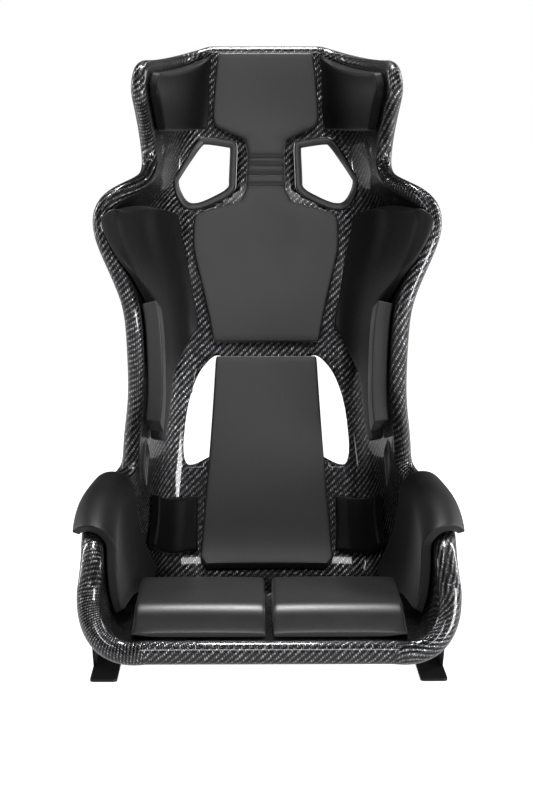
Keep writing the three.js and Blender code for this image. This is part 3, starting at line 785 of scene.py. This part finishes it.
def make_pads():
    rib_rows = []
    for place in RIB_PLACES:
        for shift in (-0.11, -0.055, 0, 0.055, 0.11):
            rib_rows.append((4 + (place + shift - 12.5) / 1.1) / 8)
    base = level(PAD_LIFT)
    back, lumbar, waist, hip = (level(PAD_LIFT + thick) for thick in (20, 27, 24, 16))
    head_side = thinning(20, 13, 0.72)
    shoulder = thinning(20, 9, 0.72)
    thigh = over_rim(15, 12)
    ladder_pad("head_and_chest_pad", "head_chest_pad", HEAD_CHEST_PAD, base, back, 14, 5,
               relief=neck_ribs, extra=rib_rows)
    ladder_pad("lumbar_pad", "lower_back_pad", LOWER_BACK_PAD, base, lumbar, 12, 8)
    for word, side in (("left", -1), ("right", 1)):
        ladder_pad(f"head_wing_pad_{word}", f"head_side_pad_{word}", on_side(side, HEAD_SIDE_PAD), base,
                   head_side, 12, 6, radius=7, cover=HIP_COVER_PAINTED_SHADE)
        ladder_pad(f"shoulder_pad_{word}", f"shoulder_bolster_{word}", on_side(side, SHOULDER_BOLSTER), base,
                   shoulder, 14, 5, bows=(0, 0.42), cover=SIDE_COVER_PAINTED_SHADE)
        ladder_pad(f"rib_pad_{word}", f"waist_pad_{word}", on_side(side, WAIST_PAD), base, waist, 5, 8,
                   radius=4, crown=1)
        ladder_pad(f"hip_pad_{word}", f"kidney_pad_{word}", on_side(side, KIDNEY_PAD), base, hip, 12, 6,
                   radius=6, bows=(0.14, 0.1), cover=HIP_COVER_PAINTED_SHADE)
        ladder_pad(f"thigh_side_pad_{word}", f"thigh_bolster_{word}", on_side(side, THIGH_BOLSTER), base,
                   thigh, 24, 6, radius=4, crown=1.5, cover=SIDE_COVER_PAINTED_SHADE)
        thigh_cushion(word, side)


CUSHION = {"gap": 6, "outer": 204, "front": -291, "rear": -67, "top": 129}


def thigh_cushion(word, side):
    """One foam block of the seat base: flat top, a ridge near the front and a sloping front face."""
    width = CUSHION["outer"] - CUSHION["gap"]
    shares = spaced(10, 7 / width)
    x = CUSHION["gap"] + width * shares
    front, rear, flat = CUSHION["front"], CUSHION["rear"], CUSHION["top"]
    slope = [(front, 88), (front, 92), (-287, 98), (-280, 107), (-273, 115.5), (-266, 121.5)]
    ridge = [(-258, 126), (-249, flat - 0.5)]
    level_part = [(y, flat) for y in (-238, -200, -160, -120, -90, -76)]
    back = [(rear - 3, flat - 1.5), (rear, flat - 7), (rear, 72)]
    outline = np.array(slope + ridge + level_part + back)  # in (y, z)
    spine = face_point(np.zeros(200), np.linspace(0, 4, 200))
    under = np.interp(outline[:, 0], spine[:, 1], spine[:, 2]) + 5
    climb = 4 * np.clip((x - 165) / 35, 0, 1) ** 2
    lean = 6 * np.clip((x - 150) / 54, 0, 1)
    crown = 1.5 * dome(shares)
    top = np.stack([
        np.broadcast_to(side * (x - lean), (len(outline), len(x))),
        np.broadcast_to(outline[:, :1], (len(outline), len(x))),
        np.maximum(outline[:, 1:] + crown, under[:, None] + climb + 3),
    ], -1)
    base = top.copy()
    base[..., 0] = side * x
    base[..., 2] = under[:, None] + climb
    count = len(outline) * len(x)
    index = np.arange(count).reshape(len(outline), len(x))
    ring = border_of(index)
    edge, foot = top.reshape(-1, 3)[ring], base.reshape(-1, 3)[ring]
    upper_band = 0.85 * edge + 0.15 * foot
    lower_band = 0.2 * edge + 0.8 * foot
    upper_ring = np.arange(len(ring)) + 2 * count
    rings = [ring, upper_ring, upper_ring + len(ring), ring + count]
    faces = [grid_faces(index), grid_faces(index + count)[:, ::-1]]
    faces += [strip_faces(a, b) for a, b in zip(rings, rings[1:])]
    faces = np.concatenate(faces)
    if side < 0:
        faces = faces[:, ::-1]
    points = np.concatenate([top.reshape(-1, 3), base.reshape(-1, 3), upper_band, lower_band])
    return soft_piece(f"seat_cushion_{word}", points, faces, CUSHION_COVER_PAINTED_SHADE, f"thigh_cushion_{word}")


# ---------------------------------------------------------------- hard parts kept from the CAD


def dress_cad(prefix, material, bevel):
    """Gives CAD nodes their material and a small edge radius."""
    for name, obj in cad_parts.items():
        if not name.startswith(prefix):
            continue
        obj.data.materials.clear()
        obj.data.materials.append(material)
        if bevel:
            soften = obj.modifiers.new("edge", "BEVEL")
            soften.width = bevel * MM
            soften.segments = 2
            soften.limit_method = "ANGLE"
            soften.angle_limit = math.radians(40)


# ---------------------------------------------------------------- studio


def area_light(name, place, target, size, power):
    data = bpy.data.lights.new(name, "AREA")
    data.shape = "RECTANGLE"
    data.size, data.size_y = size
    data.energy = power
    lamp = bpy.data.objects.new(name, data)
    lamp.location = place
    lamp.rotation_euler = (Vector(target) - Vector(place)).to_track_quat("-Z", "Y").to_euler()
    bpy.context.scene.collection.objects.link(lamp)
    return lamp


def make_studio():
    """White paper all round for the camera, dim for the light, so that the black seat keeps its darks."""
    world = bpy.data.worlds.new("studio")
    bpy.context.scene.world = world
    world.use_nodes = True
    tree = world.node_tree
    background = tree.nodes["Background"]
    background.inputs["Color"].default_value = (1, 1, 1, 1)
    seen = tree.nodes.new("ShaderNodeLightPath").outputs["Is Camera Ray"]
    strength = tree.nodes.new("ShaderNodeMapRange")
    strength.inputs["To Min"].default_value = 0.06
    strength.inputs["To Max"].default_value = 1.0
    tree.links.new(seen, strength.inputs["Value"])
    tree.links.new(strength.outputs["Result"], background.inputs["Strength"])
    floor_mesh = bpy.data.meshes.new("floor")
    far = 30
    corners = [(-far, -far, 0), (far, -far, 0), (far, far, 0), (-far, far, 0)]
    floor_mesh.from_pydata(corners, [], [(0, 1, 2, 3)])
    floor = bpy.data.objects.new("floor", floor_mesh)
    floor.location.z = -0.0005
    bpy.context.scene.collection.objects.link(floor)
    paper = Nodes("paper")
    glow = paper.mix(paper.node("ShaderNodeLightPath").outputs["Is Camera Ray"], 0.45, 1.0)
    paper.set(Base_Color=(0.5, 0.5, 0.5, 1), Roughness=0.9, Specular_IOR_Level=0.0,
              Emission_Color=(1, 1, 1, 1), Emission_Strength=glow)
    floor_mesh.materials.append(paper.material)
    area_light("front_high", (0, -3.1, 2.5), (0, 0, 0.6), (1.8, 0.6), 56)
    area_light("overhead", (0, 0.5, 2.5), (0, -0.1, 0.3), (0.3, 0.5), 58)
    area_light("side_right", (2.2, -1.7, 0.35), (0.25, 0, 0.15), (1.0, 0.7), 75)
    area_light("side_left", (-2.5, -0.9, 1.0), (0, 0, 0.5), (0.2, 1.6), 12)
    area_light("front_low", (0, -3.0, 0.35), (0, 0, 0.2), (1.6, 0.25), 4)
    area_light("kicker_right", (1.8, 0.9, 1.2), (0, 0, 0.5), (0.14, 1.8), 34)
    area_light("kicker_left", (-1.8, 0.9, 1.2), (0, 0, 0.5), (0.12, 1.8), 24)
    bpy.context.scene.view_settings.view_transform = "Standard"


def make_camera():
    """Front view from 3.2 m, a little above the seat's shoulders."""
    data = bpy.data.cameras.new("camera")
    data.lens = 92.6
    data.sensor_width = 36
    camera = bpy.data.objects.new("camera", data)
    camera.location = (-0.036, -3.2387, 0.825)
    pitch, yaw = math.radians(7.48), math.radians(0.612)
    aim = Vector((math.sin(yaw) * math.cos(pitch), math.cos(yaw) * math.cos(pitch), -math.sin(pitch)))
    camera.rotation_euler = aim.to_track_quat("-Z", "Y").to_euler()
    bpy.context.scene.collection.objects.link(camera)
    bpy.context.scene.camera = camera


make_shell()
make_pads()
for word, side in (("left", -1), ("right", 1)):
    shoulder_hole, lap_hole = on_side(side, SHOULDER_BELT_HOLE), on_side(side, LAP_BELT_HOLE)
    trim_ring(f"shoulder_trim_{word}", f"shoulder_belt_trim_{word}", shoulder_hole, SHOULDER_TRIM)
    trim_ring(f"lap_trim_{word}", f"lap_belt_trim_{word}", lap_hole, LAP_TRIM)
dress_cad("side_bracket", STEEL, 0.8)
dress_cad("screw", ZINC, 0.4)
dress_cad("washer", ZINC, 0.25)
dress_cad("insert", ZINC, 0)
dress_cad("tape", TAPE, 0)
make_studio()
make_camera()
